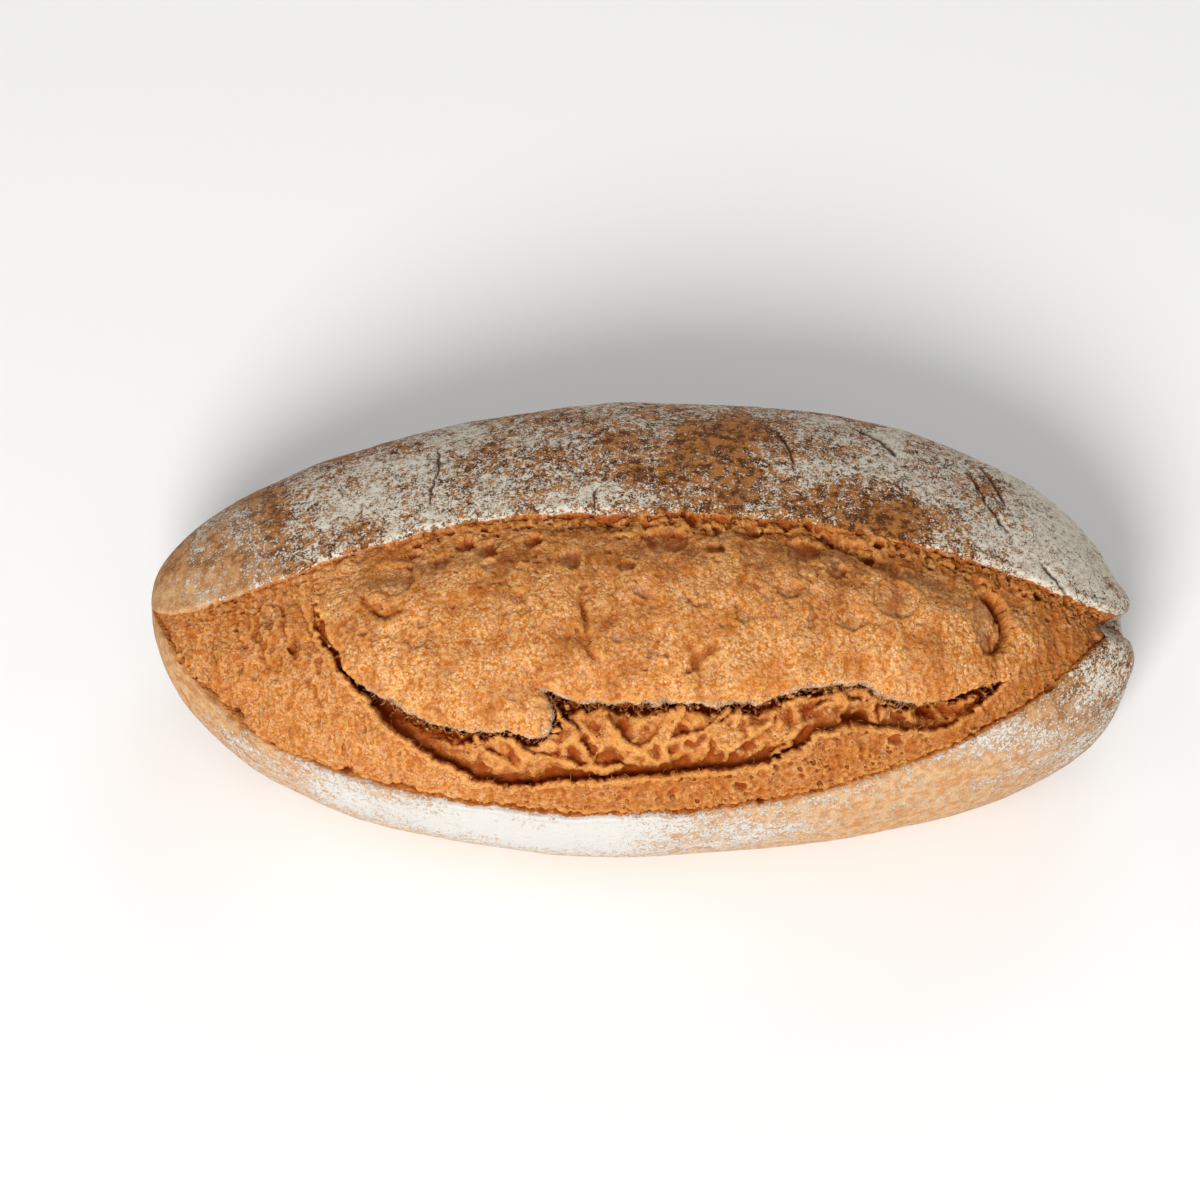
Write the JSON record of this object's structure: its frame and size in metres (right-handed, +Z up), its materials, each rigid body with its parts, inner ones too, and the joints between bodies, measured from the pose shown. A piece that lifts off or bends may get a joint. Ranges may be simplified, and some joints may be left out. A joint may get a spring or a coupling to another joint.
{
  "type": "sourdough loaf",
  "caption": "Long hand-shaped sourdough loaf with a floured crust, burst open along one side into a deep torn bloom; rests on its flat base",
  "frame": {"origin": "middle of the bounding box, on the surface the loaf rests on", "axes": "X runs along the loaf, the torn side faces -Y, and +Z is up"},
  "size_m": [0.3, 0.1462, 0.0908],
  "materials": {
    "crust": "matte"
  },
  "bodies": {
    "root": {"loaf": "crust"}
  },
  "joints": []
}
